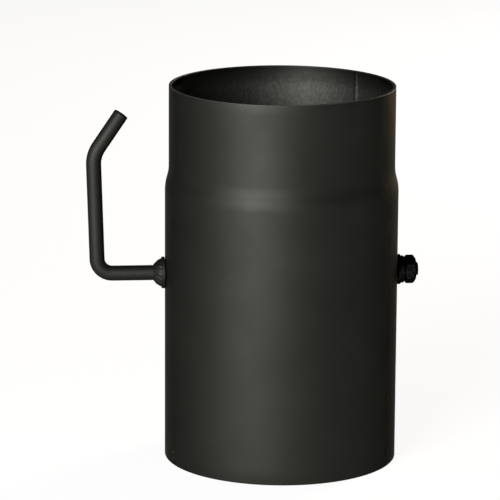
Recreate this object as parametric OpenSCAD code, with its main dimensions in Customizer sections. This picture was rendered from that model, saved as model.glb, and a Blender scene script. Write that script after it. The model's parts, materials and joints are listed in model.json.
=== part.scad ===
// Stove pipe section of 2 mm steel, with a butterfly damper on a bent bar handle.
// The pipe stands on its plain end, z = 0, with its axis on Z.
// The damper's shaft lies along X, with the handle at -X and the lock nut at +X.
// Shown with the damper open: plate and handle both in line with the pipe.

/* [Pipe] */
// Outside diameter of the pipe's body
pipe_od = 154; // [130:1:200]
// Thickness of the pipe's wall
wall_t = 2; // [1.2:0.1:3]
// Length of the pipe from rim to rim
pipe_len = 250; // [240:1:400]
// Gap all round the reduced end, inside the plain end of the next pipe
spigot_gap = 0.5; // [0.3:0.1:1]
// Straight length of the reduced end
spigot_len = 53; // [30:1:60]
// Length of the rounded shoulder under the reduced end
shoulder_len = 17; // [12:1:22]
// Chamfer on the edges of both rims
rim_chamfer = 0.3; // [0.1:0.1:0.5]

/* [Welded seam] */
// Width of the bead along the inside of the pipe
seam_w = 3.5; // [2:0.5:6]
// Height of the bead above the bore
seam_h = 0.4; // [0.2:0.1:0.8]
// Place of the bead round the pipe, in degrees from the nut's side
seam_at = 42; // [20:1:160]
// Distance from each rim to the end of the bead
seam_inset = 1; // [0.5:0.5:5]

/* [Bar] */
// Diameter of the bar that is both shaft and handle
bar_d = 10; // [8:0.5:12]
// Height of the shaft's axis above the plain end
shaft_h = 125; // [100:1:150]
// Gap all round the bar in the two holes in the pipe
shaft_gap = 0.1; // [0.05:0.01:0.1]
// Distance from the pipe's wall to the foot of the handle's upright
handle_reach = 44.5; // [35:0.5:70]
// Height of the handle's upper bend above the shaft's axis
handle_rise = 79.5; // [55:0.5:120]
// How far the upright leans outwards over its height
handle_lean = 2.5; // [0:0.5:8]
// Length of the slanted tip from the upper bend
tip_len = 33; // [20:0.5:50]
// Slant of the tip towards the pipe, in degrees from upright
tip_slant = 34; // [15:1:60]
// Centre line radius of the bend at the foot of the upright
foot_bend_r = 10; // [8:0.5:20]
// Centre line radius of the bend under the tip
tip_bend_r = 20; // [10:1:30]
// How much thinner the bar is all round in its bends
bend_thinning = 0.05; // [0.02:0.01:0.2]
// Chamfer on the sawn tip of the handle
tip_chamfer = 0.4; // [0.2:0.1:1]
// Chamfer on the threaded end of the bar
thread_chamfer = 1; // [0.5:0.1:1.5]

/* [Stop washer] */
// Outside diameter of the washer welded on beside the handle
stop_od = 21; // [18:0.5:28]
// Thickness of the stop washer
stop_t = 2; // [1:0.5:4]
// Diameter of the fillet weld where it meets the stop washer
weld_d = 18.8; // [14.5:0.1:20]
// Length of the fillet weld along the bar
weld_len = 5.7; // [3:0.1:8]
// How far the face of the weld bulges
weld_bulge = 0.7; // [0.3:0.1:0.9]
// End play of the shaft between the pipe and the washers on either side
end_play = 0.3; // [0.2:0.1:1]

/* [Lock nut] */
// Outside diameter of the flat washer
washer_od = 20; // [16:0.5:28]
// Thickness of the flat washer
washer_t = 2; // [1:0.1:3]
// Gap all round the bar in both flat washers
washer_gap = 0.25; // [0.1:0.05:0.5]
// Outside diameter of the spring washer
spring_od = 18.1; // [15:0.1:22]
// Thickness of the spring washer
spring_t = 2.2; // [1.5:0.1:3]
// Gap all round the bar in the spring washer
spring_gap = 0.1; // [0.05:0.05:0.3]
// Width of the slit through the spring washer
spring_slit = 1.2; // [0.6:0.1:2.5]
// Slant of that slit, in degrees
slit_slant = 25; // [0:1:35]
// Width of the nut across its flats
nut_af = 17; // [15:0.5:22]
// Height of the nut
nut_h = 8; // [5:0.5:12]
// Diameter of the flat ring that is left on each face of the nut
nut_face_d = 15.4; // [14:0.1:17]
// Slope of the nut's chamfers, in degrees from its face
nut_chamfer_slope = 35; // [20:1:45]
// Gap left for the thread round the bar in the nut
thread_gap = 0.05; // [0.02:0.01:0.1]
// How far the bar stands out of the nut
bar_stick_out = 1.6; // [1.5:0.1:10]

/* [Damper plate] */
// Gap all round the plate in the bore of the pipe
plate_gap = 3; // [2:0.5:6]
// Thickness of the plate
plate_t = 2; // [1.5:0.1:3]
// Gap on each side of the bar in the pressed channel
channel_gap = 0.1; // [0.05:0.05:0.5]
// Inside radius of the bends at the channel's mouth
mouth_r = 1; // [0.5:0.1:1.5]
// Inside radius of the bends at the channel's floor
floor_r = 1; // [0.5:0.1:1.5]
// Diameter of the two relief holes that keep a draught when the plate is shut
relief_d = 36; // [20:1:44]
// Distance from the shaft's axis to each relief hole's middle
relief_at = 40; // [34:1:44]

/* [Plate bolts] */
// Distance between the two bolts
bolt_pitch = 76; // [50:1:100]
// Diameter of the bolts
bolt_d = 5; // [4:0.5:6]
// Gap all round each bolt in the bar, the plate and its washer
bolt_gap = 0.2; // [0.1:0.05:0.4]
// Width of heads and nuts across their flats
bolt_af = 8; // [7:0.5:10]
// Height of a head
bolt_head_h = 3.5; // [3:0.1:5]
// Depth of the flat on the bar that a head sits on
seat_depth = 1.2; // [0.5:0.1:1.5]
// Length of that flat along the bar
seat_len = 13; // [12:0.5:20]
// Outside diameter of a bolt's washer
bolt_washer_od = 10; // [9:0.5:14]
// Thickness of a bolt's washer
bolt_washer_t = 1; // [0.6:0.1:1.6]
// Height of a bolt's nut
bolt_nut_h = 4; // [3:0.1:6]
// How far a bolt stands out of its nut
bolt_stick_out = 2.2; // [1:0.1:5]

/* [Hidden] */
$fn = 120;

paint = [0.15, 0.15, 0.14];
black_steel = [0.09, 0.09, 0.10];
mill_steel = [0.33, 0.33, 0.34];
zinc = [0.62, 0.64, 0.66];

// Length by which a cutting shape runs past what it cuts
past = 1;

// Pipe: radii of its middle surface, and heights
body_r = pipe_od / 2;
bore_r = body_r - wall_t;
body_mid_r = body_r - wall_t / 2;
shoulder_drop = wall_t + spigot_gap;
spigot_mid_r = body_mid_r - shoulder_drop;
spigot_z = pipe_len - spigot_len;
shoulder_z = spigot_z - shoulder_len;

// The shoulder is two equal arcs, tangent to each other and to both straights
shoulder_r = (pow(shoulder_len, 2) + pow(shoulder_drop, 2)) / (4 * shoulder_drop);
shoulder_turn = 2 * atan(shoulder_drop / shoulder_len);

// Shaft: places along X
bar_r = bar_d / 2;
stop_face_x = -(body_r + end_play);
weld_x = stop_face_x - stop_t;
washer_x = body_r + end_play;
spring_x = washer_x + washer_t;
nut_x = spring_x + spring_t;
bar_end_x = nut_x + nut_h + bar_stick_out;

// Bar: corners of its centre line from the front, counted from the shaft's axis
upright_x = -(body_r + handle_reach);
upper_bend = [upright_x - handle_lean, handle_rise];
bar_line = [[bar_end_x, 0],
            [upright_x, 0],
            upper_bend,
            upper_bend + tip_len * [sin(tip_slant), cos(tip_slant)]];
bend_radii = [0, foot_bend_r, tip_bend_r, 0];

// Plate: its outline and the section of its channel, y across the plate
plate_r = bore_r - plate_gap;
channel_in = bar_r + channel_gap;
channel_floor_y = -bar_r;
channel_out_y = channel_floor_y - plate_t;
plate_edge_z = channel_in + plate_t + mouth_r;

// Plate bolts: places along Y
seat_y = bar_r - seat_depth;
bolt_nut_y = channel_out_y - bolt_washer_t;
bolt_end_y = bolt_nut_y - bolt_nut_h - bolt_stick_out;

function unit(v) = v / norm(v);
// Direction of the stretch of a line that starts at corner i
function run(line, i) = unit(line[i + 1] - line[i]);
// Turn of a line at corner i
function turn(line, i) = acos(run(line, i - 1) * run(line, i));
function is_bend(line, i) = i > 0 && i < len(line) - 1;
// Distance from corner i to where its bend starts or ends
function setback(line, radii, i) =
    is_bend(line, i) ? radii[i] * tan(turn(line, i) / 2) : 0;

// A piece of ring, t thick each side as given, between two headings
module arc_band(r_in, r_out, from, to) {
    reach = 2 * r_out;
    intersection() {
        difference() {
            circle(r_out);
            circle(r_in);
        }
        polygon([[0, 0], reach * [cos(from), sin(from)], reach * [cos(to), sin(to)]]);
    }
}

// Section of the pipe's wall between two distances from its middle surface
module wall_section(in, out, inset = 0) {
    t = out - in;
    translate([body_mid_r + in, inset])
        square([t, shoulder_z - inset]);
    translate([body_mid_r - shoulder_r, shoulder_z])
        arc_band(shoulder_r + in, shoulder_r + out, 0, shoulder_turn);
    translate([spigot_mid_r + shoulder_r, spigot_z])
        arc_band(shoulder_r - out, shoulder_r - in, 180, 180 + shoulder_turn);
    translate([spigot_mid_r + in, spigot_z])
        square([t, spigot_len - inset]);
}

// A square on its corner, which cuts a chamfer from an edge at p
module edge_cut(p, c) {
    translate(p)
        rotate(45)
            square(c * sqrt(2), center = true);
}

module pipe_section() {
    difference() {
        wall_section(-wall_t / 2, wall_t / 2);
        for (side = [-1, 1]) {
            edge_cut([body_mid_r + side * wall_t / 2, 0], rim_chamfer);
            edge_cut([spigot_mid_r + side * wall_t / 2, pipe_len], rim_chamfer);
        }
    }
}

// The bead of the lengthwise weld, which follows the bore through the shoulder
module seam_bead() {
    arc = 360 * seam_w / (2 * PI * bore_r);
    rotate(seam_at - arc / 2)
        rotate_extrude(angle = arc)
            wall_section(-wall_t / 2 - seam_h, 0, seam_inset);
}

// Steel tube, rolled and seam welded, with one end reduced to a spigot
module pipe() {
    color(paint)
        difference() {
            union() {
                rotate_extrude()
                    pipe_section();
                seam_bead();
            }
            on_shaft(-body_r - past)
                cylinder(h = pipe_od + 2 * past, r = bar_r + shaft_gap);
        }
}

// Turns +Z into +X on the shaft's axis, at a distance x along it
module on_shaft(x) {
    translate([x, 0, shaft_h])
        rotate([0, 90, 0])
            children();
}

// Turns +Z into +Y through the shaft's axis, at x and y
module through_shaft(x, y) {
    translate([x, y, shaft_h])
        rotate([-90, 0, 0])
            children();
}

// A straight cylinder with a chamfer on each end
module rod(length, r, c_start = 0, c_end = 0) {
    translate([0, 0, c_start])
        cylinder(h = length - c_start - c_end, r = r);
    if (c_start > 0)
        cylinder(h = c_start, r1 = r - c_start, r2 = r);
    if (c_end > 0)
        translate([0, 0, length - c_end])
            cylinder(h = c_end, r1 = r, r2 = r - c_end);
}

// A bend of the bar at the end of a run along Z, towards -X, and what follows it
module bend(r, angle) {
    translate([-r, 0, 0]) {
        rotate([90, 0, 0])
            rotate_extrude(angle = angle)
                translate([r, 0])
                    circle(bar_r - bend_thinning);
        rotate([0, -angle, 0])
            translate([r, 0, 0])
                children();
    }
}

// The bar from corner i of its centre line on: a run along Z, the bend, the rest
module bent_bar(line, radii, i = 0) {
    is_last = i == len(line) - 2;
    length = norm(line[i + 1] - line[i])
        - setback(line, radii, i) - setback(line, radii, i + 1);
    lap_start = i == 0 ? 0 : bend_thinning;
    lap_end = is_last ? 0 : bend_thinning;
    translate([0, 0, -lap_start])
        rod(lap_start + length + lap_end, bar_r,
            i == 0 ? thread_chamfer : 0, is_last ? tip_chamfer : 0);
    if (!is_last)
        translate([0, 0, length])
            bend(radii[i + 1], turn(line, i + 1))
                bent_bar(line, radii, i + 1);
}

// One bent bar: threaded end, shaft through the pipe, upright and slanted tip
module handle_shaft() {
    color(paint)
        difference() {
            translate([bar_end_x, 0, shaft_h])
                rotate([0, -90, 0])
                    rotate(180)
                        bent_bar(bar_line, bend_radii);
            for (side = [-1, 1]) {
                through_shaft(side * bolt_pitch / 2, -bar_d)
                    cylinder(h = 2 * bar_d, r = bolt_d / 2 + bolt_gap);
                translate([side * bolt_pitch / 2 - seat_len / 2, seat_y, shaft_h - bar_d])
                    cube([seat_len, bar_d, 2 * bar_d]);
            }
        }
}

// A flat washer on Z, with its hole
module washer(d_out, hole_r, t) {
    difference() {
        cylinder(h = t, d = d_out);
        translate([0, 0, -past])
            cylinder(h = t + 2 * past, r = hole_r);
    }
}

module stop_washer() {
    color(paint)
        on_shaft(stop_face_x - stop_t)
            washer(stop_od, bar_r + washer_gap, stop_t);
}

// Fillet weld between the stop washer and the bar, slightly convex
module stop_weld() {
    foot = weld_d / 2 - bar_r;
    chord = norm([foot, weld_len]);
    face_r = pow(chord, 2) / (8 * weld_bulge) + weld_bulge / 2;
    across = [foot, -weld_len] / chord;
    middle = [bar_r + foot / 2, weld_len / 2];
    centre = middle - (face_r - weld_bulge) * [-across[1], across[0]];
    color(paint)
        on_shaft(weld_x)
            mirror([0, 0, 1])
                rotate_extrude()
                    intersection() {
                        translate([bar_r, 0])
                            square([foot, weld_len]);
                        translate(centre)
                            circle(face_r);
                    }
}

module flat_washer() {
    color(black_steel)
        on_shaft(washer_x)
            washer(washer_od, bar_r + washer_gap, washer_t);
}

// Spring washer pressed flat, with its slanted slit upwards
module spring_washer() {
    color(black_steel)
        on_shaft(spring_x)
            difference() {
                washer(spring_od, bar_r + spring_gap, spring_t);
                translate([-spring_od / 2, 0, spring_t / 2])
                    rotate([slit_slant, 0, 0])
                        cube([spring_od, spring_slit, 3 * spring_t], center = true);
            }
}

// A hexagon on Z with a corner towards X, its corners rounded off by chamfers
module hexagon(af, h, face_d, slope, both) {
    corner_r = af / 2 / cos(30);
    depth = (corner_r - face_d / 2) * tan(slope);
    intersection() {
        cylinder(h = h, r = corner_r, $fn = 6);
        union() {
            translate([0, 0, h - depth])
                cylinder(h = depth, r1 = corner_r, r2 = face_d / 2);
            translate([0, 0, both ? depth : 0])
                cylinder(h = h - (both ? 2 : 1) * depth, r = corner_r);
            if (both)
                cylinder(h = depth, r1 = face_d / 2, r2 = corner_r);
        }
    }
}

module lock_nut() {
    color(black_steel)
        on_shaft(nut_x)
            difference() {
                hexagon(nut_af, nut_h, nut_face_d, nut_chamfer_slope, true);
                translate([0, 0, -past])
                    cylinder(h = nut_h + 2 * past, r = bar_r + thread_gap);
            }
}

// Half of the plate's section: flat, bend at the mouth, wall and bend at the floor
module half_plate_section() {
    translate([plate_edge_z, 0])
        square([plate_r - plate_edge_z, plate_t]);
    translate([plate_edge_z, -mouth_r])
        arc_band(mouth_r, mouth_r + plate_t, 90, 180);
    translate([channel_in, channel_floor_y + floor_r])
        square([plate_t, -mouth_r - channel_floor_y - floor_r]);
    translate([channel_in - floor_r, channel_floor_y + floor_r])
        arc_band(floor_r, floor_r + plate_t, 270, 360);
    translate([0, channel_out_y])
        square([channel_in - floor_r, plate_t]);
}

// Sheet disc with a channel pressed across it for the bar, and two relief holes
module damper_plate() {
    depth = plate_t - channel_out_y;
    color(mill_steel)
        difference() {
            intersection() {
                on_shaft(-plate_r)
                    linear_extrude(2 * plate_r)
                        for (side = [0, 1])
                            mirror([side, 0])
                                half_plate_section();
                through_shaft(0, channel_out_y - past)
                    cylinder(h = depth + 2 * past, r = plate_r);
            }
            for (side = [-1, 1]) {
                translate([0, 0, side * relief_at])
                    through_shaft(0, -past)
                        cylinder(h = plate_t + 2 * past, d = relief_d);
                through_shaft(side * bolt_pitch / 2, channel_out_y - past)
                    cylinder(h = plate_t + 2 * past, r = bolt_d / 2 + bolt_gap);
            }
        }
}

// Hexagon bolt through bar and plate, its head on the flat of the bar
module plate_bolt(side) {
    color(zinc)
        through_shaft(side * bolt_pitch / 2, bolt_end_y) {
            rod(seat_y - bolt_end_y, bolt_d / 2, bolt_d / 10, 0);
            translate([0, 0, seat_y - bolt_end_y])
                hexagon(bolt_af, bolt_head_h, 0.95 * bolt_af, 30, false);
        }
}

module plate_washer(side) {
    color(zinc)
        through_shaft(side * bolt_pitch / 2, bolt_nut_y)
            washer(bolt_washer_od, bolt_d / 2 + bolt_gap, bolt_washer_t);
}

module plate_nut(side) {
    color(zinc)
        through_shaft(side * bolt_pitch / 2, bolt_nut_y - bolt_nut_h)
            difference() {
                hexagon(bolt_af, bolt_nut_h, 0.95 * bolt_af, 30, true);
                translate([0, 0, -past])
                    cylinder(h = bolt_nut_h + 2 * past, r = bolt_d / 2 + thread_gap);
            }
}

pipe();
handle_shaft();
stop_washer();
stop_weld();
flat_washer();
spring_washer();
lock_nut();
damper_plate();
plate_bolt(-1);  // plate_bolt_left
plate_bolt(1);  // plate_bolt_right
plate_washer(-1);  // plate_washer_left
plate_washer(1);  // plate_washer_right
plate_nut(-1);  // plate_nut_left
plate_nut(1);  // plate_nut_right
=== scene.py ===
"""Looks of a stove pipe section with a butterfly damper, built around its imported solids.

The pipe stands on its plain end on the floor. Its damper turns on a bent bar that is both
shaft and handle. Every piece is modelled here at the size and place of its CAD node, which it
then replaces, and gets a procedural finish. Lengths are in metres.
"""

import json
import logging
import math
from contextlib import contextmanager
from dataclasses import dataclass
from enum import Enum
from typing import Callable, Iterator, Optional, Sequence, Union

import bmesh
import bpy
from mathutils import Matrix, Vector

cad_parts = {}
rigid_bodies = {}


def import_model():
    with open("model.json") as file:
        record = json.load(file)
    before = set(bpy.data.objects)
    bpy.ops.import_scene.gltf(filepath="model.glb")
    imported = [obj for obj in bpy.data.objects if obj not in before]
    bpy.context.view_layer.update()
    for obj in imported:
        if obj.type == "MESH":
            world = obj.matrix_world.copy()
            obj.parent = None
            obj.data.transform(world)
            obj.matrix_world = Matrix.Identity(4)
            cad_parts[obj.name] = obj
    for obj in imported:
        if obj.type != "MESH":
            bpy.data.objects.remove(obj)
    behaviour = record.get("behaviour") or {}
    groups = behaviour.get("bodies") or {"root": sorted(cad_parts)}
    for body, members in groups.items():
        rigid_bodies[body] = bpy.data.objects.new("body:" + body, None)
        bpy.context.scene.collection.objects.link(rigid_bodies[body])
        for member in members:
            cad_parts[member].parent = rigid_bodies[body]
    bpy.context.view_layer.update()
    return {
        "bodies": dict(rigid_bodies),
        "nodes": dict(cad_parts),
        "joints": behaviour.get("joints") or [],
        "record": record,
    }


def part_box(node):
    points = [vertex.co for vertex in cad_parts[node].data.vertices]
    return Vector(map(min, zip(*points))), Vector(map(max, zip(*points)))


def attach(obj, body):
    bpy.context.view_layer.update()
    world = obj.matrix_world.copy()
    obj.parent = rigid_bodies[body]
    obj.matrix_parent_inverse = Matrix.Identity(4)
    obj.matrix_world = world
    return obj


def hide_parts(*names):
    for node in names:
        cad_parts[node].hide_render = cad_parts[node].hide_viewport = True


LOG = logging.getLogger("stove_pipe")

MM = 0.001
WELD = 0.002 * MM
Colour = tuple[float, float, float]
Value = Union[float, Colour, "Signal"]
Outline = list[tuple[float, float]]


class Kind(Enum):
    """What a selection in edit mode is made of."""

    CORNERS = "VERT"
    EDGES = "EDGE"
    FACES = "FACE"


class Body(Enum):
    """The two bodies of the part."""

    PIPE = "pipe_body"
    DAMPER = "damper"


class Cut(Enum):
    """What a second solid does to the first."""

    AWAY = "DIFFERENCE"
    COMMON = "INTERSECT"
    JOINED = "UNION"


class Signal:
    """A socket of a node, which Python's operators work on by adding Math nodes."""

    def __init__(self, recipe: "Recipe", socket: bpy.types.NodeSocket) -> None:
        """Wraps an output socket.

        Args:
            recipe: The material that the socket is in.
            socket: The output.
        """
        self.recipe = recipe
        self.socket = socket

    def math(self, operation: str, first: Value, second: Value = 0.0) -> "Signal":
        """Adds one Math node.

        Args:
            operation: Blender's name of the operation.
            first: Its first value.
            second: Its second value, where it takes two.

        Returns:
            The node's result.
        """
        return self.recipe.node("ShaderNodeMath", {"operation": operation}, {0: first, 1: second})

    def __add__(self, other: Value) -> "Signal":
        """Sum of both."""
        return self.math("ADD", self, other)

    __radd__ = __add__

    def __sub__(self, other: Value) -> "Signal":
        """This less the other."""
        return self.math("SUBTRACT", self, other)

    def __rsub__(self, other: Value) -> "Signal":
        """The other less this."""
        return self.math("SUBTRACT", other, self)

    def __mul__(self, other: Value) -> "Signal":
        """Product of both."""
        return self.math("MULTIPLY", self, other)

    __rmul__ = __mul__

    def root(self) -> "Signal":
        """Square root of this."""
        return self.math("SQRT", self)

    def __gt__(self, other: Value) -> "Signal":
        """One where this is greater, else nought."""
        return self.math("GREATER_THAN", self, other)


class Recipe:
    """The nodes of one material."""

    def __init__(self, name: str) -> None:
        """Starts an empty material.

        Args:
            name: The material's name.
        """
        self.material = bpy.data.materials.new(name)
        self.material.use_nodes = True
        self.tree = self.material.node_tree
        self.tree.nodes.clear()

    def node(self, kind: str, settings: dict, inputs: dict, output: Union[int, str] = 0) -> Signal:
        """Adds a node.

        Args:
            kind: Blender's name of the node type.
            settings: What is set first. The stops of a ramp are (place, colour) pairs.
            inputs: Values or links of its sockets, by name or number.
            output: The socket that is handed back.

        Returns:
            That output.
        """
        made = self.tree.nodes.new(kind)
        for name, value in settings.items():
            if name == "stops":
                self._set_stops(made.color_ramp, value)
            else:
                setattr(made, name, value)
        for socket, value in inputs.items():
            if isinstance(value, Signal):
                self.tree.links.new(value.socket, made.inputs[socket])
            elif isinstance(value, tuple) and made.inputs[socket].type == "RGBA":
                made.inputs[socket].default_value = (*value, 1.0)
            else:
                made.inputs[socket].default_value = value
        return Signal(self, made.outputs[output])

    @staticmethod
    def _set_stops(ramp: bpy.types.ColorRamp, stops: Sequence[tuple[float, float]]) -> None:
        """Gives a ramp its stops, each a place and a grey level."""
        while len(ramp.elements) < len(stops):
            ramp.elements.new(1.0)
        for element, (place, level) in zip(ramp.elements, stops):
            element.position = place
            element.color = (level, level, level, 1.0)

    def place(self) -> Signal:
        """The point on the piece, in metres of its own frame."""
        return self.node("ShaderNodeTexCoord", {}, {}, "Object")

    def axis(self, name: str) -> Signal:
        """One axis of the point on the piece."""
        return self.node("ShaderNodeSeparateXYZ", {}, {0: self.place()}, name)

    def stretched(self, scale: Sequence[float]) -> Signal:
        """The point on the piece with each axis scaled by itself."""
        return self.node("ShaderNodeMapping", {}, {"Vector": self.place(), "Scale": tuple(scale)})

    def noise(self, size: float, detail: float = 3.0, point: Optional[Signal] = None) -> Signal:
        """Cloudy noise between nought and one.

        Args:
            size: Rough size of its spots.
            detail: How many finer layers it has.
            point: Where it is read, if not on the piece itself.

        Returns:
            The noise.
        """
        inputs = {"Vector": point or self.place(), "Scale": 1 / size, "Detail": detail}
        return self.node("ShaderNodeTexNoise", {}, inputs, "Fac")

    def ramp(self, signal: Signal, *stops: tuple[float, float]) -> Signal:
        """Levels of a signal by (place, level) stops."""
        return self.node("ShaderNodeValToRGB", {"stops": stops}, {"Fac": signal})

    def mix(self, share: Value, first: Value, second: Value) -> Signal:
        """Colour that goes from the first to the second as the share goes up."""
        inputs = {0: share, 6: first, 7: second}
        return self.node("ShaderNodeMix", {"data_type": "RGBA"}, inputs, 2)

    @staticmethod
    def swing(signal: Signal, middle: float, width: float) -> Signal:
        """A value that goes this wide round its middle, as the signal goes from nought to one."""
        return signal * width + (middle - width / 2)

    def bump(self, height: Signal, depth: float) -> Signal:
        """Normal of a surface with this height pattern.

        Args:
            height: The pattern.
            depth: How deep it is.

        Returns:
            The normal.
        """
        inputs = {"Height": height, "Distance": depth, "Strength": 1.0}
        return self.node("ShaderNodeBump", {}, inputs)

    def surface(self, **sockets: Value) -> bpy.types.Material:
        """Closes the recipe with a Principled surface.

        Args:
            sockets: Its sockets, with _ for each space.

        Returns:
            The material.
        """
        inputs = {name.replace("_", " "): value for name, value in sockets.items()}
        return self.finish(self.node("ShaderNodeBsdfPrincipled", {}, inputs))

    def finish(self, shader: Signal) -> bpy.types.Material:
        """Leads a shader to the material's output."""
        self.node_output(shader)
        return self.material

    def node_output(self, shader: Signal) -> None:
        """Adds the output node."""
        made = self.tree.nodes.new("ShaderNodeOutputMaterial")
        self.tree.links.new(shader.socket, made.inputs["Surface"])


@dataclass(frozen=True)
class HeatPaint:
    """Satin heat-resistant paint, sprayed on steel."""

    name: str = "heat_paint"
    colour: Colour = (0.0160, 0.0160, 0.0141)
    dusty: Colour = (0.0190, 0.0190, 0.0168)
    roughness: float = 0.56
    roughness_spot: float = 12 * MM
    roughness_swing: float = 0.08
    flake: float = 0.95
    edge_tint: float = 0.4
    peel: float = 0.9 * MM
    peel_depth: float = 0.012 * MM
    cloud: float = 35 * MM
    grain: float = 0.8 * MM
    grain_share: float = 0.3

    def tone(self, recipe: Recipe) -> Signal:
        """Share of the dusty colour, in clouds and fine grain."""
        clouds = recipe.noise(self.cloud) * (1 - self.grain_share)
        grain = recipe.noise(self.grain, 2.0) * self.grain_share
        return recipe.ramp(clouds + grain, (0.35, 0.0), (0.68, 1.0))

    def colours(self, recipe: Recipe) -> Signal:
        """The colour over the piece."""
        return recipe.mix(self.tone(recipe), self.colour, self.dusty)

    def material(self) -> bpy.types.Material:
        """The finish as a material."""
        recipe = Recipe(self.name)
        return recipe.surface(
            Base_Color=self.colours(recipe),
            Roughness=recipe.swing(
                recipe.noise(self.roughness_spot), self.roughness, self.roughness_swing
            ),
            Metallic=self.flake,
            Specular_IOR_Level=0.0,
            Specular_Tint=(self.edge_tint,) * 3,
            Normal=recipe.bump(recipe.noise(self.peel, 2.0), self.peel_depth),
        )


@dataclass(frozen=True)
class PipePaint(HeatPaint):
    """The same paint on the pipe, thin and greyer inside and lifted there as painted light, darkened
    inside below the top rim as painted shade, and rubbed on the sheared rims, with the top rim face
    lightened as a painted highlight.
    """

    name: str = "pipe_paint"
    # Bore colours: greyer thin paint, raised further as painted light for the lamp light that hardly
    # reaches the bore; the lighter streaks are real scratches.
    inside: Colour = (0.046, 0.046, 0.042)
    inside_worn: Colour = (0.071, 0.071, 0.064)
    # Painted shade: a dark band down the bore from the top rim, graded by height over about 19 mm.
    bore_rim_painted_shade: Colour = (0.008, 0.008, 0.007)
    bore_rim_painted_shade_stops: Sequence[tuple[float, float]] = (
        (0.925, 0.0),
        (0.946, 0.15),
        (0.966, 0.62),
        (0.993, 1.0),
    )
    # Top rim face: paint rubbed off the sheared edge, and lightened further as a painted highlight of
    # that face.
    rim: Colour = (0.08, 0.08, 0.075)
    parting_radius: float = 76 * MM
    spigot_step: float = 2.5 * MM
    shoulder: tuple[float, float] = (180 * MM, 197 * MM)
    height: float = 250 * MM
    rim_depth: float = 0.25 * MM
    scratch: Sequence[float] = (700.0, 700.0, 450.0)

    def colours(self, recipe: Recipe) -> Signal:
        """Outside, inside and rims, parted by the place in the wall."""
        x, y, z = (recipe.axis(name) for name in "XYZ")
        radius = (x * x + y * y).root()
        low, high = (edge / self.height for edge in self.shoulder)
        step = recipe.ramp(z * (1 / self.height), (low, 0.0), (high, 1.0)) * self.spigot_step
        within = (step * -1.0 + self.parting_radius) > radius
        scratches = recipe.noise(1.0, 2.0, recipe.stretched(self.scratch))
        worn = recipe.ramp(scratches, (0.40, 0.0), (0.70, 1.0))
        # Bore: thin greyer paint with real scratches, brightened as painted light.
        bore = recipe.mix(worn, self.inside, self.inside_worn)
        # Painted shade that darkens the bore towards its top rim.
        reach = recipe.ramp(z * (1 / self.height), *self.bore_rim_painted_shade_stops)
        bore = recipe.mix(reach, bore, self.bore_rim_painted_shade)
        wall = recipe.mix(within, super().colours(recipe), bore)
        # Top rim face: rubbed paint plus painted highlight.
        return recipe.mix(z > self.height - self.rim_depth, wall, self.rim)


@dataclass(frozen=True)
class WeldPaint(HeatPaint):
    """Paint over a rough weld, grey where the spray missed."""

    name: str = "weld_paint"
    dusty: Colour = (0.019, 0.019, 0.017)
    roughness: float = 0.60
    cloud: float = 3.5 * MM
    grain: float = 0.9 * MM
    grain_share: float = 0.5
    peel: float = 1.6 * MM
    peel_depth: float = 0.06 * MM


@dataclass(frozen=True)
class Steel:
    """Bare, blackened or plated steel, with a little mottling."""

    name: str
    colour: Colour
    worn: Colour
    roughness: float
    spot: float = 6 * MM
    roughness_swing: float = 0.16
    texture: float = 0.5 * MM
    depth: float = 0.010 * MM
    edge_tint: float = 1.0

    def material(self) -> bpy.types.Material:
        """The finish as a material."""
        recipe = Recipe(self.name)
        spots = recipe.noise(self.spot, 5.0)
        return recipe.surface(
            Base_Color=recipe.mix(recipe.ramp(spots, (0.38, 0.0), (0.66, 1.0)), self.colour, self.worn),
            Roughness=recipe.swing(spots, self.roughness, self.roughness_swing),
            Metallic=1.0,
            Specular_Tint=(self.edge_tint,) * 3,
            Normal=recipe.bump(recipe.noise(self.texture, 2.0), self.depth),
        )


@dataclass(frozen=True)
class StageWhite:
    """White of the studio's floor, which keeps a soft shadow of the object."""

    name: str = "stage_white"
    colour: Colour = (0.86, 0.86, 0.86)
    kept_shadow: float = 0.10

    def material(self) -> bpy.types.Material:
        """The finish as a material."""
        recipe = Recipe(self.name)
        seen = recipe.node("ShaderNodeLightPath", {}, {}, "Is Camera Ray")
        glossy = recipe.node("ShaderNodeLightPath", {}, {}, "Is Glossy Ray")
        through = recipe.node("ShaderNodeLightPath", {}, {}, "Is Transmission Ray")
        plain = recipe.node("ShaderNodeBsdfDiffuse", {}, {"Color": self.colour})
        white = recipe.node("ShaderNodeEmission", {}, {"Color": (1.0, 1.0, 1.0), "Strength": 1.0})
        share = (seen + glossy + through) * (1 - self.kept_shadow)
        return recipe.finish(recipe.node("ShaderNodeMixShader", {}, {0: share, 1: plain, 2: white}))


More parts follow.
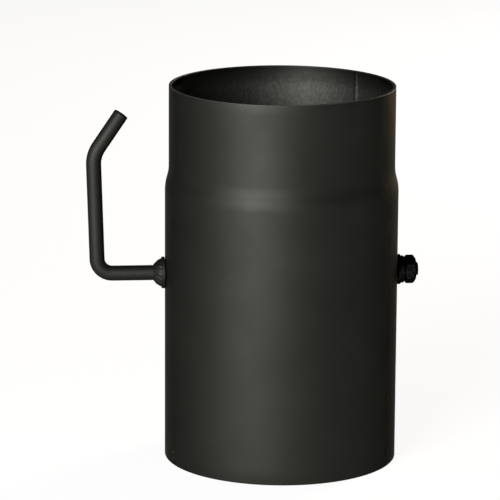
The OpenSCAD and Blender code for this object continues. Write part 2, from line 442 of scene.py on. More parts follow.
@dataclass
class PhotoCamera:
    """The photograph's viewpoint, fitted to the pipe's rims and sides, without any shift."""

    azimuth: float = -5.535
    elevation: float = 13.405
    distance: float = 2.2481
    target_height: float = 0.125
    yaw: float = -0.527
    pitch: float = 0.345
    roll: float = 0.465
    focal_length: float = 3393.9
    frame_side: float = 500.0
    sensor: float = 36.0

    def build(self) -> None:
        """Makes the camera and gives it to the scene."""
        azimuth, elevation = math.radians(self.azimuth), math.radians(self.elevation)
        back = Vector((
            math.sin(azimuth) * math.cos(elevation),
            -math.cos(azimuth) * math.cos(elevation),
            math.sin(elevation),
        ))
        ahead = -back
        right = ahead.cross(Vector((0, 0, 1))).normalized()
        up = right.cross(ahead)
        ahead, right = self._turned(ahead, right, self.yaw)
        ahead, up = self._turned(ahead, up, self.pitch)
        right, up = self._turned(right, up, self.roll)
        lens = bpy.data.cameras.new("photo_camera")
        lens.sensor_width = self.sensor
        lens.lens = self.focal_length / self.frame_side * self.sensor
        lens.clip_end = 100.0
        camera = bpy.data.objects.new("photo_camera", lens)
        bpy.context.scene.collection.objects.link(camera)
        axes = Matrix((right, up, -ahead)).transposed().to_4x4()
        target = Vector((0, 0, self.target_height))
        camera.matrix_world = Matrix.Translation(target + back * self.distance) @ axes
        bpy.context.scene.camera = camera

    @staticmethod
    def _turned(first: Vector, second: Vector, degrees: float) -> tuple[Vector, Vector]:
        """Both axes after a turn that takes the first one towards the second."""
        c, s = math.cos(math.radians(degrees)), math.sin(math.radians(degrees))
        return first * c + second * s, second * c - first * s


@dataclass
class SoftBox:
    """A flat lamp that faces the middle of the pipe."""

    name: str
    azimuth: float
    elevation: float
    distance: float
    width: float
    height: float
    power: float
    colour: Colour = (1.0, 1.0, 1.0)

    def build(self, target: Vector) -> None:
        """Hangs the lamp.

        Args:
            target: The point that it faces.
        """
        azimuth, elevation = math.radians(self.azimuth), math.radians(self.elevation)
        back = Vector((
            math.sin(azimuth) * math.cos(elevation),
            -math.cos(azimuth) * math.cos(elevation),
            math.sin(elevation),
        ))
        light = bpy.data.lights.new(self.name, "AREA")
        light.shape = "RECTANGLE"
        light.size, light.size_y = self.width, self.height
        light.energy = self.power
        light.color = self.colour
        lamp = bpy.data.objects.new(self.name, light)
        bpy.context.scene.collection.objects.link(lamp)
        turn = back.to_track_quat("Z", "Y").to_matrix().to_4x4()
        lamp.matrix_world = Matrix.Translation(target + back * self.distance) @ turn


@dataclass
class Studio:
    """Pale sweep of floor and low wall, soft lamps and dim room light."""

    floor_radius: float = 11.0
    cove_radius: float = 1.0
    wall_height: float = 2.0
    floor_gap: float = 0.05 * MM
    room_level: float = 0.03
    target_height: float = 0.125

    def build(self) -> None:
        """Makes the sweep, the lamps and the world."""
        self._sweep()
        target = Vector((0, 0, self.target_height))
        for lamp in self.lamps():
            lamp.build(target)
        world = bpy.data.worlds.new("room")
        world.use_nodes = True
        world.node_tree.nodes["Background"].inputs["Color"].default_value = (1, 1, 1, 1)
        world.node_tree.nodes["Background"].inputs["Strength"].default_value = self.room_level
        bpy.context.scene.world = world
        bpy.context.scene.view_settings.view_transform = "Standard"

    def lamps(self) -> list[SoftBox]:
        """The lamps, with their places as seen from the object."""
        return [
            SoftBox("key", -31.0, 13.0, 2.0, 0.9, 1.0, 124.0),
            SoftBox("rim_right", 134.0, 4.0, 2.0, 0.5, 0.8, 150.0, (1.0, 0.80, 0.62)),
        ]

    def _sweep(self) -> None:
        """Floor disc that curves up into a low wall all round."""
        line = [(0.0, 0.0), (self.floor_radius, 0.0)]
        turns = 12
        for i in range(1, turns + 1):
            angle = math.radians(90) * i / turns
            line.append((
                self.floor_radius + self.cove_radius * math.sin(angle),
                self.cove_radius * (1 - math.cos(angle)),
            ))
        line.append((self.floor_radius + self.cove_radius, self.wall_height))
        sweep = Workpiece.turned("studio_sweep", line, steps=96, closed=False)
        sweep.settle(Matrix.Translation((0, 0, -self.floor_gap)))
        sweep.dress(StageWhite().material())


class Workpiece:
    """A mesh on the bench, shaped by the operators that a modeller uses by hand."""

    def __init__(self, name: str, start: Callable[..., set], **settings: object) -> None:
        """Adds a primitive.

        Args:
            name: Name of the piece.
            start: The operator that adds it.
            settings: What the operator is given, such as its size and place.
        """
        self.leave_all()
        start(**settings)
        self.body = bpy.context.object
        self.body.name = self.body.data.name = name
        bpy.ops.object.transform_apply(location=True, rotation=True, scale=True)

    @staticmethod
    def leave_all() -> None:
        """Deselects everything."""
        for thing in bpy.context.selected_objects:
            thing.select_set(False)

    def take(self) -> None:
        """Selects this piece alone."""
        self.leave_all()
        self.body.select_set(True)
        bpy.context.view_layer.objects.active = self.body

    @contextmanager
    def edit(self) -> Iterator[None]:
        """Edit mode for as long as the block lasts."""
        self.take()
        bpy.ops.object.mode_set(mode="EDIT")
        yield
        bpy.ops.object.mode_set(mode="OBJECT")

    def pick(self, kind: Kind, test: Callable[[Vector], bool]) -> None:
        """Selects what lies in a place, in edit mode.

        Args:
            kind: Corners, edges or faces.
            test: Says whether a middle point is in that place.
        """
        bpy.ops.mesh.select_mode(type=kind.value)
        bpy.ops.mesh.select_all(action="DESELECT")
        shape = bmesh.from_edit_mesh(self.body.data)
        parts = {Kind.CORNERS: shape.verts, Kind.EDGES: shape.edges, Kind.FACES: shape.faces}
        for part in parts[kind]:
            middle = part.co if kind is Kind.CORNERS else self._middle(part)
            part.select_set(test(middle))
        bmesh.update_edit_mesh(self.body.data)

    @staticmethod
    def _middle(part: Union[bmesh.types.BMEdge, bmesh.types.BMFace]) -> Vector:
        """Mean of the corners of an edge or a face."""
        return sum((corner.co for corner in part.verts), Vector()) / len(part.verts)

    @classmethod
    def drawn(cls, name: str, line: Sequence[Vector], closed: bool) -> "Workpiece":
        """Draws a chain of edges, by pulling one corner from point to point.

        Args:
            name: Name of the piece.
            line: The points.
            closed: Whether the last point is joined to the first.

        Returns:
            The piece.
        """
        piece = cls(name, bpy.ops.mesh.primitive_plane_add, size=MM, location=line[0])
        with piece.edit():
            bpy.ops.mesh.select_mode(type=Kind.CORNERS.value)
            bpy.ops.mesh.select_all(action="SELECT")
            bpy.ops.mesh.merge(type="CENTER")
            for here, there in zip(line, line[1:]):
                piece.pull(there - here)
            if closed:
                piece.pull(line[0] - line[-1])
                bpy.ops.mesh.select_all(action="SELECT")
                bpy.ops.mesh.remove_doubles(threshold=WELD)
        return piece

    @classmethod
    def turned(
        cls, name: str, outline: Outline, steps: int = 96, closed: bool = True
    ) -> "Workpiece":
        """Turns an outline round Z, as on a lathe.

        Args:
            name: Name of the piece.
            outline: Its (radius, height) points.
            steps: Number of faces round it.
            closed: Whether the outline is a ring, off the axis.

        Returns:
            The piece.
        """
        piece = cls.drawn(name, [Vector((r, 0, z)) for r, z in outline], closed)
        with piece.edit():
            bpy.ops.mesh.select_all(action="SELECT")
            piece.swing(Vector(), Vector((0, 0, 1)), math.tau, steps)
            bpy.ops.mesh.select_all(action="SELECT")
            bpy.ops.mesh.remove_doubles(threshold=WELD)
            bpy.ops.mesh.normals_make_consistent(inside=False)
        return piece

    @staticmethod
    def pull(move: Vector) -> None:
        """Extrudes what is selected along a move."""
        bpy.ops.mesh.extrude_region_move(TRANSFORM_OT_translate={"value": tuple(move)})

    @staticmethod
    def swing(centre: Vector, axis: Vector, angle: float, steps: int) -> None:
        """Extrudes what is selected round an axis, right-handed, which is minus for the tool."""
        bpy.ops.mesh.spin(steps=steps, angle=-angle, center=tuple(centre), axis=tuple(axis))

    def modify(self, kind: str, **settings: object) -> None:
        """Adds a modifier and applies it.

        Args:
            kind: Blender's name of the modifier type.
            settings: What is set on it.
        """
        self.take()
        made = self.body.modifiers.new(kind.lower(), kind)
        for name, value in settings.items():
            setattr(made, name, value)
        bpy.ops.object.modifier_apply(modifier=made.name)

    def round_edges(self, width: float, least: float = 35.0) -> None:
        """Rounds every edge that is sharper than an angle in degrees."""
        self.modify(
            "BEVEL",
            width=width,
            segments=3,
            limit_method="ANGLE",
            angle_limit=math.radians(least),
            use_clamp_overlap=True,
        )

    def close_rim(self, end: int, flat: bool = False) -> None:
        """Closes one of the two open rims, in edit mode.

        Args:
            end: Nought for the first rim that is found, one for the other; not used.
            flat: Whether one flat face closes it, and not a fan round its middle.
        """
        shape = bmesh.from_edit_mesh(self.body.data)
        bpy.ops.mesh.select_mode(type=Kind.EDGES.value)
        bpy.ops.mesh.select_all(action="DESELECT")
        start = next(edge for edge in shape.edges if edge.is_boundary or edge.is_wire)
        loop, queue = {start}, [start]
        while queue:
            for corner in queue.pop().verts:
                for edge in corner.link_edges:
                    if (edge.is_boundary or edge.is_wire) and edge not in loop:
                        loop.add(edge)
                        queue.append(edge)
        for edge in loop:
            edge.select_set(True)
        bmesh.update_edit_mesh(self.body.data)
        if flat:
            bpy.ops.mesh.edge_face_add()
        else:
            self.pull(Vector())
            bpy.ops.mesh.merge(type="CENTER")

    @staticmethod
    def clouds(name: str, size: float) -> bpy.types.Texture:
        """A cloudy texture for a Displace modifier, with spots of about a size."""
        texture = bpy.data.textures.new(name, "CLOUDS")
        texture.noise_scale = size
        return texture

    def combine(self, other: "Workpiece", cut: Cut) -> None:
        """Cuts away, keeps in common or joins a second solid, which is used up."""
        self.modify("BOOLEAN", object=other.body, operation=cut.value, solver="EXACT")
        bpy.data.objects.remove(other.body)

    def settle(self, place: Matrix) -> None:
        """Moves the mesh to its place, and leaves the object at the origin."""
        self.take()
        self.body.matrix_world = place
        bpy.ops.object.transform_apply(location=True, rotation=True, scale=True)

    def smooth(self, degrees: float = 35.0) -> None:
        """Smooths the shading, but for edges sharper than an angle."""
        self.take()
        bpy.ops.object.shade_smooth_by_angle(angle=math.radians(degrees))

    def dress(self, material: bpy.types.Material) -> None:
        """Gives the piece its finish, in place of any other."""
        self.body.data.materials.clear()
        self.body.data.materials.append(material)

    def fit(self, body: Body, node: str, slot: str, material: bpy.types.Material) -> None:
        """Dresses the piece and puts it in the place of its CAD node.

        Args:
            body: The body that it rides on.
            node: The node that it replaces.
            slot: Its material slot in the record; not used.
            material: Its finish.
        """
        self.dress(material)
        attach(self.body, body.value)
        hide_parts(node)
        LOG.info("%s: %d faces", self.body.name, len(self.body.data.polygons))


@dataclass
class Datum:
    """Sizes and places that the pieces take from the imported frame."""

    pipe_radius: float
    pipe_top: float
    spigot_radius: float
    spigot_base: float
    shaft_height: float
    bar_radius: float
    bar_end: float

    @classmethod
    def from_frame(cls, frame: dict) -> "Datum":
        """Reads them.


        Returns:
            The sizes.
        """
        spigot = next(m for m in frame["record"]["mounts"] if m["name"] == "spigot")
        pipe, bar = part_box("pipe")[1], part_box("handle_shaft")[1]
        return cls(
            pipe_radius=pipe.y,
            pipe_top=pipe.z,
            spigot_radius=spigot["dims"]["r_mm"] * MM,
            spigot_base=spigot["pos_m"][2] - spigot["dims"]["length_mm"] * MM / 2,
            shaft_height=frame["joints"][0]["pos_m"][2],
            bar_radius=bar.y,
            bar_end=bar.x,
        )

    def on_shaft(self, x: float) -> Matrix:
        """Place that turns a piece's Z into +X on the shaft's axis, from x on."""
        shift = Matrix.Translation((x, 0, self.shaft_height))
        return shift @ Matrix.Rotation(math.radians(90), 4, "Y")

    def through_shaft(self, x: float, y: float) -> Matrix:
        """Place that turns a piece's Z into +Y through the shaft's axis, from y on."""
        shift = Matrix.Translation((x, y, self.shaft_height))
        return shift @ Matrix.Rotation(math.radians(-90), 4, "X")


class Hardware:
    """Shapes of fasteners, each standing on Z from nought up.

    OFF_CORNERS is the turn, in degrees, that keeps a cone's edges off a hexagon's corners, and
    THREAD_DEPTH is the depth of a metric thread for each unit of its pitch.
    """

    OFF_CORNERS = 1.1
    THREAD_DEPTH = 0.6134

    @staticmethod
    def washer(name: str, hole: float, rim: float, thickness: float, edge: float) -> Workpiece:
        """A punched ring with softened edges.

        Args:
            name: Name of the piece.
            hole: Radius of its hole.
            rim: Outer radius.
            thickness: How thick it is.
            edge: Width of its rounded edges.

        Returns:
            The ring.
        """
        outline = [(hole, 0.0), (rim, 0.0), (rim, thickness), (hole, thickness)]
        ring = Workpiece.turned(name, outline, steps=96)
        ring.round_edges(edge)
        return ring

    @staticmethod
    def hexagon(
        name: str,
        flats: float,
        height: float,
        face: float,
        slope: float,
        both: bool,
        edge: float,
    ) -> Workpiece:
        """A hexagon with a corner towards X, its corners cut back by a cone.

        Args:
            name: Name of the piece.
            flats: Width across its flats.
            height: How high it is.
            face: Diameter of the flat that is left on its face.
            slope: Slope of the cone in degrees.
            both: Whether the lower face is cut back too.
            edge: Width of its rounded edges.

        Returns:
            The hexagon.
        """
        corner = flats / 2 / math.cos(math.radians(30))
        drop = (corner - face / 2) * math.tan(math.radians(slope))
        prism = Workpiece(
            name,
            bpy.ops.mesh.primitive_cylinder_add,
            vertices=6,
            radius=corner,
            depth=height,
            location=(0, 0, height / 2),
            rotation=(0, 0, math.radians(30)),
        )
        prism.round_edges(edge)
        wide, low = corner + MM, drop + MM * math.tan(math.radians(slope))
        line = [(0.0, 0.0), (face / 2, 0.0), (wide, low)] if both else [(0.0, -MM), (wide, -MM)]
        line += [(wide, height - low), (face / 2, height), (0.0, height)]
        cone = Workpiece.turned("cone", line, closed=False)
        cone.settle(Matrix.Rotation(math.radians(Hardware.OFF_CORNERS), 4, "Z"))
        prism.combine(cone, Cut.COMMON)
        return prism

    @staticmethod
    def bore(radius: float, countersink: float, height: float) -> Workpiece:
        """The space of a through bore with a countersink at both ends.

        Args:
            radius: Radius of the bore.
            countersink: How much wider it is at its ends, and how deep that reaches.
            height: Height of the piece that it goes through.

        Returns:
            That space, as a solid.
        """
        wide = radius + countersink
        line = [(0.0, -MM), (wide, -MM), (wide, 0.0), (radius, countersink)]
        line += [(radius, height - countersink), (wide, height), (wide, height + MM)]
        return Workpiece.turned("bore", line + [(0.0, height + MM)], closed=False)

    @staticmethod
    def threaded(
        name: str, radius: float, pitch: float, length: float, chamfer: float
    ) -> Workpiece:
        """A rod with a cut thread, chamfered at its far end.

        Args:
            name: Name of the piece.
            radius: Radius over the crests.
            pitch: Distance between crests.
            length: Its length.
            chamfer: Chamfer on its far end.

        Returns:
            The rod.
        """
        root = radius - Hardware.THREAD_DEPTH * pitch
        turns = math.ceil(length / pitch) + 3
        crest = [(root, 0.0), (root, 1 / 8), (radius, 7 / 16), (radius, 9 / 16), (root, 7 / 8)]
        line = [Vector((r, 0, share * pitch)) for r, share in crest + [(root, 1.0)]]
        rod = Workpiece.drawn(name, line, closed=False)
        rod.modify("SCREW", steps=40, iterations=turns, screw_offset=pitch)
        with rod.edit():
            bpy.ops.mesh.select_all(action="SELECT")
            bpy.ops.mesh.remove_doubles(threshold=WELD)
            bpy.ops.mesh.normals_make_consistent(inside=False)
            for end in (0, 1):
                rod.close_rim(end)
            bpy.ops.mesh.select_all(action="SELECT")
            bpy.ops.mesh.normals_make_consistent(inside=False)
        rod.settle(Matrix.Translation((0, 0, -1.5 * pitch)))
        line = [(0.0, 0.0), (radius + pitch, 0.0), (radius + pitch, length - chamfer - pitch)]
        line += [(radius - chamfer, length), (0.0, length)]
        rod.combine(Workpiece.turned("blank", line, closed=False), Cut.COMMON)
        return rod


@dataclass
class PipeShell:
    """Rolled and seam welded tube of 2 mm sheet, with one end swaged to a spigot."""

    datum: Datum
    wall: float = 2 * MM
    shoulder_length: float = 17 * MM
    steps_round: int = 256
    rim_edge: float = 0.35 * MM
    shaft_gap: float = 0.1 * MM
    sheet_wave: float = 0.10 * MM
    wave_size: float = 60 * MM
    seam_heading: float = 42.0
    seam_width: float = 3.5 * MM
    seam_height: float = 0.4 * MM
    seam_inset: float = 1 * MM
    seam_root: float = 0.6 * MM
    seam_steps: int = 10
    ripple: float = 1.6 * MM
    ripple_lag: float = 0.4 * MM
    ripple_crowns: Sequence[float] = (1.25, 1.0, 0.8)

    def middle_radius(self, z: float) -> float:
        """Radius of the middle of the wall at a height, along the shoulder's two equal arcs."""
        body = self.datum.pipe_radius - self.wall / 2
        spigot = self.datum.spigot_radius - self.wall / 2
        drop, end = body - spigot, self.datum.spigot_base
        bend = (self.shoulder_length**2 + drop**2) / (4 * drop)
        below, above = z - (end - self.shoulder_length), end - z
        if below <= 0:
            return body
        if above <= 0:
            return spigot
        if above > self.shoulder_length / 2:
            return body - bend + math.sqrt(bend**2 - below**2)
        return spigot + bend - math.sqrt(bend**2 - above**2)

    def heights(self) -> list[float]:
        """Heights of the rings of faces, close together at the shoulder."""
        start = self.datum.spigot_base - self.shoulder_length
        bands = [(0.0, start, 18), (start, self.datum.spigot_base, 24)]
        bands.append((self.datum.spigot_base, self.datum.pipe_top, 8))
        found = [low + (high - low) * i / count for low, high, count in bands for i in range(count)]
        return found + [self.datum.pipe_top]

    def build(self, finish: bpy.types.Material) -> None:
        """Makes the tube, its two holes and its weld."""
        line = [(self.middle_radius(z), z) for z in self.heights()]
        shell = Workpiece.turned("pipe_shell", line, self.steps_round, closed=False)
        shell.modify(
            "DISPLACE",
            texture=Workpiece.clouds("sheet_wave", self.wave_size),
            strength=self.sheet_wave,
            mid_level=1.0,
        )
        shell.modify("SOLIDIFY", thickness=self.wall, offset=0.0, use_even_offset=True)
        shell.round_edges(self.rim_edge, least=60.0)
        shell.combine(self._seam(), Cut.JOINED)
        shell.combine(self._shaft_drill(), Cut.AWAY)
        shell.smooth()
        shell.fit(Body.PIPE, "pipe", "pipe_paint", finish)

    def _shaft_drill(self) -> Workpiece:
        """Cylinder of the two holes for the shaft."""
        return Workpiece(
            "drill",
            bpy.ops.mesh.primitive_cylinder_add,
            vertices=64,
            radius=self.datum.bar_radius + self.shaft_gap,
            depth=3 * self.datum.pipe_radius,
            location=(0, 0, self.datum.shaft_height),
            rotation=(0, math.radians(90), 0),
        )

    def _seam(self) -> Workpiece:
        """Bead of the lengthwise weld along the bore, with a crescent ripple for each drop."""
        low, high = self.seam_inset, self.datum.pipe_top - self.seam_inset
        inner = self.middle_radius(low) - self.wall / 2
        line = []
        for i in range(self.seam_steps + 1):
            t = 2 * i / self.seam_steps - 1
            crown, lag = self.seam_height * (1 - t * t), self.ripple_lag * t * t
            line.append(Vector((inner - crown, t * self.seam_width / 2, low - lag)))
        root = inner + self.seam_root
        line += [Vector((root, side * self.seam_width / 2, low)) for side in (1, -1)]
        bead = Workpiece.drawn("seam", line, closed=True)
        count = round((high - low) / self.ripple) * len(self.ripple_crowns)
        step = (high - low) / count
        with bead.edit():
            bpy.ops.mesh.select_all(action="SELECT")
            radius, z, crown = inner, low, 1.0
            for i in range(count):
                z += step
                here = self.middle_radius(z) - self.wall / 2
                bead.pull(Vector((here - radius, 0, step)))
                wanted = self.ripple_crowns[i % len(self.ripple_crowns)]
                pivot = (here, 0, z)
                bpy.ops.transform.resize(value=(wanted / crown, 1, 1), center_override=pivot)
                radius, crown = here, wanted
            for end in (0, 1):
                bead.close_rim(end)
            bpy.ops.mesh.select_all(action="SELECT")
            bpy.ops.mesh.normals_make_consistent(inside=False)
        bead.settle(Matrix.Rotation(math.radians(self.seam_heading), 4, "Z"))
        return bead


@dataclass
class BentBar:
    """The round bar that is shaft and handle: threaded end, foot bend, upright and tip."""

    datum: Datum
    reach: float = 44.5 * MM
    rise: float = 79.5 * MM
    lean: float = 2.5 * MM
    tip_length: float = 33 * MM
    tip_slant: float = 34.0
    foot_bend: float = 10 * MM
    tip_bend: float = 20 * MM
    tip_edge: float = 0.5 * MM
    thread_pitch: float = 1.5 * MM
    thread_length: float = 13 * MM
    thread_chamfer: float = 1 * MM
    thread_relief: float = 0.04 * MM
    thread_lap: float = 0.5 * MM
    seat_depth: float = 1.2 * MM
    seat_length: float = 13 * MM
    cross_hole: float = 2.7 * MM
    steps_round: int = 64
    steps_bend: int = 14

    def corners(self) -> list[Vector]:
        """Corners of the centre line, from the thread's inner end to the tip."""
        z = self.datum.shaft_height
        slant = math.radians(self.tip_slant)
        foot = Vector((-self.datum.pipe_radius - self.reach, 0, z))
        bend = foot + Vector((-self.lean, 0, self.rise))
        tip = bend + self.tip_length * Vector((math.sin(slant), 0, math.cos(slant)))
        return [Vector((self.datum.bar_end - self.thread_length, 0, z)), foot, bend, tip]

    def build(self, finish: bpy.types.Material) -> None:
        """Bends the bar, cuts its thread and gives it its seats."""
        corners = self.corners()
        bar = Workpiece(
            "bent_bar",
            bpy.ops.mesh.primitive_circle_add,
            vertices=self.steps_round,
            radius=self.datum.bar_radius,
            location=corners[0],
            rotation=(0, math.radians(90), 0),
        )
        with bar.edit():
            bpy.ops.mesh.select_all(action="SELECT")
            self._bend_up(bar, corners)
            for end in (0, 1):
                bar.close_rim(end, flat=True)
            bpy.ops.mesh.select_all(action="SELECT")
            bpy.ops.mesh.normals_make_consistent(inside=False)
        bar.round_edges(self.tip_edge, least=60.0)
        for node in ("plate_bolt_left", "plate_bolt_right"):
            low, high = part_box(node)
            self._cut_seat(bar, (low.x + high.x) / 2)
        bar.combine(self._thread(), Cut.JOINED)
        bar.smooth()
        bar.fit(Body.DAMPER, "handle_shaft", "handle_paint", finish)

    def _bend_up(self, bar: Workpiece, corners: list[Vector]) -> None:
        """Pulls the ring along the centre line, round a bend at each inner corner."""
        here = corners[0]
        for i, radius in ((1, self.foot_bend), (2, self.tip_bend)):
            ahead = (corners[i] - corners[i - 1]).normalized()
            after = (corners[i + 1] - corners[i]).normalized()
            angle = ahead.angle(after)
            start = corners[i] - ahead * radius * math.tan(angle / 2)
            bar.pull(start - here)
            inward = Vector((ahead.z, 0, -ahead.x))
            bar.swing(start + inward * radius, Vector((0, 1, 0)), angle, self.steps_bend)
            here = corners[i] + after * radius * math.tan(angle / 2)
        bar.pull(corners[-1] - here)

    def _cut_seat(self, bar: Workpiece, x: float) -> None:
        """Cuts the flat for a bolt's head and the hole for its shank."""
        radius, z = self.datum.bar_radius, self.datum.shaft_height
        low = radius - self.seat_depth
        bar.combine(
            Workpiece(
                "seat",
                bpy.ops.mesh.primitive_cube_add,
                size=1,
                location=(x, low + radius, z),
                scale=(self.seat_length, 2 * radius, 4 * radius),
            ),
            Cut.AWAY,
        )
        bar.combine(
            Workpiece(
                "drill",
                bpy.ops.mesh.primitive_cylinder_add,
                vertices=40,
                radius=self.cross_hole,
                depth=4 * radius,
                location=(x, 0, z),
                rotation=(math.radians(90), 0, 0),
            ),
            Cut.AWAY,
        )

    def _thread(self) -> Workpiece:
        """The cut thread that carries the lock nut."""
        length = self.thread_length + self.thread_lap
        radius = self.datum.bar_radius - self.thread_relief
        rod = Hardware.threaded("thread", radius, self.thread_pitch, length, self.thread_chamfer)
        rod.settle(self.datum.on_shaft(self.datum.bar_end - length))
        return rod


@dataclass
class StopCollar:
    """Washer beside the handle, and the hand-laid fillet weld that holds it to the bar."""

    datum: Datum
    washer_gap: float = 0.25 * MM
    washer_edge: float = 0.25 * MM
    ripples: int = 17
    steps_per_ripple: int = 8
    ripple_height: float = 1.035
    lump_size: float = 5 * MM
    lump_height: float = 0.7 * MM
    bulge: float = 0.08
    root_lap: float = 0.3 * MM
    face_steps: int = 10
    face_share: float = 0.96

    def build(self, finish: bpy.types.Material, weld_finish: bpy.types.Material) -> None:
        """Makes both."""
        low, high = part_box("stop_washer")
        washer = Hardware.washer(
            "stop_ring",
            self.datum.bar_radius + self.washer_gap,
            high.y,
            high.x - low.x,
            self.washer_edge,
        )
        washer.settle(self.datum.on_shaft(low.x))
        washer.smooth()
        washer.fit(Body.DAMPER, "stop_washer", "handle_paint", finish)
        self._weld(weld_finish)

    def _weld(self, finish: bpy.types.Material) -> None:
        """Turns the fillet, then works the ripples and lumps of a hand weld into it."""
        low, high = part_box("stop_weld")
        root, foot, length = self.datum.bar_radius, high.y, high.x - low.x
        inner = root - self.root_lap
        face = []
        for i in range(self.face_steps + 1):
            t = i / self.face_steps
            bulge = self.bulge * math.sin(math.pi * t)
            along, out = length * (t + bulge / 2), (foot - root) * (1 - t + bulge)
            face.append((root + out, length - along * self.face_share))
        outline = [(inner, length), *face, (inner, face[-1][1])]
        steps = self.ripples * self.steps_per_ripple
        weld = Workpiece.turned("stop_fillet", outline, steps)
        with weld.edit():
            for i in range(self.ripples):
                crest = math.tau * i / self.ripples
                weld.pick(Kind.CORNERS, lambda p: self._is_crest(p, crest, root))
                bpy.ops.transform.resize(
                    value=(self.ripple_height, self.ripple_height, 1), center_override=(0, 0, 0)
                )
        weld.modify("SMOOTH", factor=0.5, iterations=1)
        weld.modify(
            "DISPLACE",
            texture=Workpiece.clouds("weld_lump", self.lump_size),
            strength=self.lump_height,
            mid_level=0.6,
        )
        weld.settle(self.datum.on_shaft(low.x))
        weld.smooth(60.0)
        weld.fit(Body.DAMPER, "stop_weld", "handle_paint", finish)

    def _is_crest(self, point: Vector, crest: float, root: float) -> bool:
        """Whether a corner of the weld's face lies on the crest of a ripple."""
        radius = math.hypot(point.x, point.y)
        lag = 0.35 * (radius - root) / root
        apart = abs(math.remainder(math.atan2(point.y, point.x) - crest - lag, math.tau))
        return radius > root and apart < math.pi / self.ripples * 0.6


@dataclass
class NutStack:
    """Flat washer, spring washer and lock nut on the threaded end."""

    datum: Datum
    washer_gap: float = 0.25 * MM
    washer_edge: float = 0.3 * MM
    spring_gap: float = 0.1 * MM
    spring_edge: float = 0.2 * MM
    slit: float = 1.2 * MM
    slit_slant: float = 25.0
    nut_face: float = 14.4 * MM
    nut_slope: float = 35.0
    countersink: float = 0.6 * MM
    nut_edge: float = 0.22 * MM

    def build(self, finish: bpy.types.Material) -> None:
        """Makes the three of them."""
        bar = self.datum.bar_radius
        low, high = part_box("flat_washer")
        washer = Hardware.washer(
            "plain_washer", bar + self.washer_gap, high.y, high.x - low.x, self.washer_edge
        )
        self._seat(washer, "flat_washer", finish)
        low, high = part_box("spring_washer")
        thickness = high.x - low.x
        ring = [(bar + self.spring_gap, 0.0), (high.y, 0.0), (high.y, thickness)]
        spring = Workpiece.turned("split_washer", ring + [(ring[0][0], thickness)])
        spring.round_edges(self.spring_edge)
        spring.combine(self._slit(high.y, thickness), Cut.AWAY)
        self._seat(spring, "spring_washer", finish)
        low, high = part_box("lock_nut")
        self._seat(self._nut(2 * high.y, high.x - low.x), "lock_nut", finish)

    def _seat(self, piece: Workpiece, node: str, finish: bpy.types.Material) -> None:
        """Puts a piece on the bar, where its node is."""
        piece.settle(self.datum.on_shaft(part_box(node)[0].x))
        piece.smooth()
        piece.fit(Body.DAMPER, node, "black_steel", finish)

    def _slit(self, rim: float, thickness: float) -> Workpiece:
        """Slanted blade that cuts the spring washer open, upwards on the bar."""
        return Workpiece(
            "blade",
            bpy.ops.mesh.primitive_cube_add,
            size=1,
            location=(-rim, 0, thickness / 2),
            rotation=(math.radians(self.slit_slant), 0, 0),
            scale=(2 * rim, self.slit, 3 * thickness),
        )

    def _nut(self, flats: float, height: float) -> Workpiece:
        """The nut, with a countersink at both ends of its thread."""
        nut = Hardware.hexagon(
            "hex_nut", flats, height, self.nut_face, self.nut_slope, True, self.nut_edge
        )
        bore = Hardware.bore(self.datum.bar_radius, self.countersink, height)
        nut.combine(bore, Cut.AWAY)
        return nut


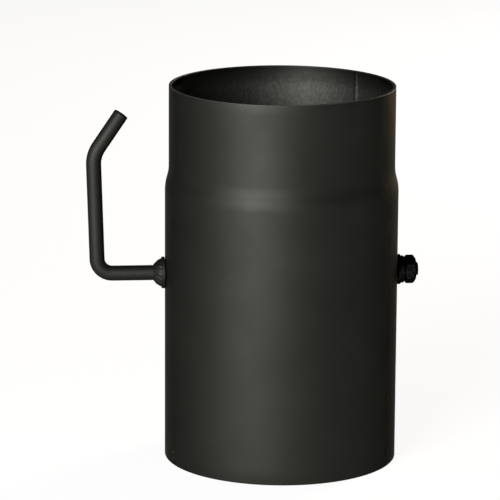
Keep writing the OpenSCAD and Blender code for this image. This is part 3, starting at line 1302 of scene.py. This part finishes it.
@dataclass
class DamperPlate:
    """Sheet disc with a channel pressed across it for the bar, and two relief holes."""

    datum: Datum
    thickness: float = 2 * MM
    channel_gap: float = 0.1 * MM
    mouth: float = 1 * MM
    floor: float = 1 * MM
    relief: float = 18 * MM
    relief_at: float = 40 * MM
    bolt_hole: float = 2.7 * MM
    edge: float = 0.25 * MM

    def half_line(self) -> list[Vector]:
        """Half of the middle line of the plate's section, from the channel's floor outwards."""
        bar, half = self.datum.bar_radius, self.thickness / 2
        wall = bar + self.channel_gap + half
        floor_y = -bar - half
        foot, mouth = self.floor + half, self.mouth + half
        line = [Vector((0, floor_y, 0))]
        line += self._arc(wall - foot, floor_y + foot, foot, 270, 360)
        line += self._arc(wall + mouth, half - mouth, mouth, 180, 90)
        return line + [Vector((0, half, self.datum.pipe_radius))]

    @staticmethod
    def _arc(z: float, y: float, radius: float, start: float, end: float) -> list[Vector]:
        """Points of an arc of the section."""
        found = []
        for i in range(7):
            angle = math.radians(start + (end - start) * i / 6)
            found.append(Vector((0, y + radius * math.sin(angle), z + radius * math.cos(angle))))
        return found

    def build(self, finish: bpy.types.Material) -> None:
        """Presses the sheet, then cuts the disc and its holes."""
        low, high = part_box("damper_plate")
        radius, lift = high.x, Vector((-high.x - MM, 0, self.datum.shaft_height))
        half = self.half_line()
        other = [Vector((0, p.y, -p.z)) for p in reversed(half[1:])]
        plate = Workpiece.drawn("pressed_plate", [p + lift for p in other + half], closed=False)
        with plate.edit():
            bpy.ops.mesh.select_all(action="SELECT")
            plate.pull(Vector((2 * radius + 2 * MM, 0, 0)))
            bpy.ops.mesh.select_all(action="SELECT")
            bpy.ops.mesh.normals_make_consistent(inside=False)
        plate.modify("SOLIDIFY", thickness=self.thickness, offset=0.0, use_even_offset=True)
        plate.combine(self._punch(0, 0, radius, 192), Cut.COMMON)
        for side in (-1, 1):
            plate.combine(self._punch(0, side * self.relief_at, self.relief, 96), Cut.AWAY)
        for node in ("plate_bolt_left", "plate_bolt_right"):
            low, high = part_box(node)
            plate.combine(self._punch((low.x + high.x) / 2, 0, self.bolt_hole, 40), Cut.AWAY)
        plate.round_edges(self.edge, least=50.0)
        plate.smooth()
        plate.fit(Body.DAMPER, "damper_plate", "mill_steel", finish)

    def _punch(self, x: float, z: float, radius: float, steps: int) -> Workpiece:
        """A cylinder across the plate, at a place counted from the shaft's axis."""
        return Workpiece(
            "punch",
            bpy.ops.mesh.primitive_cylinder_add,
            vertices=steps,
            radius=radius,
            depth=6 * self.datum.bar_radius,
            location=(x, 0, self.datum.shaft_height + z),
            rotation=(math.radians(90), 0, 0),
        )


@dataclass
class PlateBolts:
    """The two bolts that hold the plate to the bar, each with a washer and a nut."""

    datum: Datum
    shank: float = 2.5 * MM
    pitch: float = 0.8 * MM
    seat_depth: float = 1.2 * MM
    lap: float = 0.3 * MM
    countersink: float = 0.3 * MM
    gap: float = 0.2 * MM
    washer_edge: float = 0.15 * MM
    face_share: float = 0.95
    slope: float = 30.0
    edge: float = 0.12 * MM
    chamfer: float = 0.5 * MM

    def build(self, finish: bpy.types.Material) -> None:
        """Makes both sets."""
        for side in ("left", "right"):
            self._bolt(side, finish)
            self._washer(side, finish)
            self._nut(side, finish)

    def _seat(self, piece: Workpiece, node: str, finish: bpy.types.Material) -> None:
        """Puts a piece on the bolt's axis, where its node is."""
        low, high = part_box(node)
        piece.settle(self.datum.through_shaft((low.x + high.x) / 2, low.y))
        piece.smooth()
        piece.fit(Body.DAMPER, node, "zinc_steel", finish)

    def _bolt(self, side: str, finish: bpy.types.Material) -> None:
        """Hexagon head on a shank that is threaded to its end."""
        node = "plate_bolt_" + side
        low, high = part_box(node)
        seat = self.datum.bar_radius - self.seat_depth
        flats, length = high.z - low.z, seat - low.y
        face = self.face_share * flats
        bolt = Hardware.hexagon(
            "hex_bolt_" + side, flats, high.y - seat, face, self.slope, False, self.edge
        )
        bolt.settle(Matrix.Translation((0, 0, length)))
        top = length + self.lap
        shank = Hardware.threaded("shank", self.shank, self.pitch, top, self.chamfer)
        flip = Matrix.Rotation(math.radians(180), 4, "X")
        shank.settle(Matrix.Translation((0, 0, top)) @ flip)
        bolt.combine(shank, Cut.JOINED)
        self._seat(bolt, node, finish)

    def _washer(self, side: str, finish: bpy.types.Material) -> None:
        """Small flat washer under the nut."""
        node = "plate_washer_" + side
        low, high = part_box(node)
        rim = (high.x - low.x) / 2
        ring = Hardware.washer(
            "small_washer_" + side, self.shank + self.gap, rim, high.y - low.y, self.washer_edge
        )
        self._seat(ring, node, finish)

    def _nut(self, side: str, finish: bpy.types.Material) -> None:
        """Hexagon nut on the shank."""
        node = "plate_nut_" + side
        low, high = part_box(node)
        flats, height = high.z - low.z, high.y - low.y
        face = self.face_share * flats
        nut = Hardware.hexagon(
            "small_nut_" + side, flats, height, face, self.slope, True, self.edge
        )
        nut.combine(Hardware.bore(self.shank, self.countersink, height), Cut.AWAY)
        self._seat(nut, node, finish)


def main() -> None:
    """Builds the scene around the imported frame."""
    logging.basicConfig(level=logging.INFO, format="%(message)s")
    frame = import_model()
    PhotoCamera().build()
    Studio().build()
    datum = Datum.from_frame(frame)
    handle_paint = HeatPaint(name="handle_paint", roughness=0.62).material()
    black = Steel(
        "black_steel", (0.0035, 0.0035, 0.0037), (0.012, 0.012, 0.012), 0.42, 2 * MM, edge_tint=0.3
    ).material()
    mill = Steel("mill_steel", (0.085, 0.085, 0.090), (0.150, 0.150, 0.155), 0.52, 22 * MM).material()
    zinc = Steel("zinc_steel", (0.46, 0.48, 0.50), (0.54, 0.56, 0.58), 0.34).material()
    PipeShell(datum).build(PipePaint().material())
    BentBar(datum).build(handle_paint)
    StopCollar(datum).build(handle_paint, WeldPaint().material())
    NutStack(datum).build(black)
    DamperPlate(datum).build(mill)
    PlateBolts(datum).build(zinc)


if __name__ == "__main__":
    main()
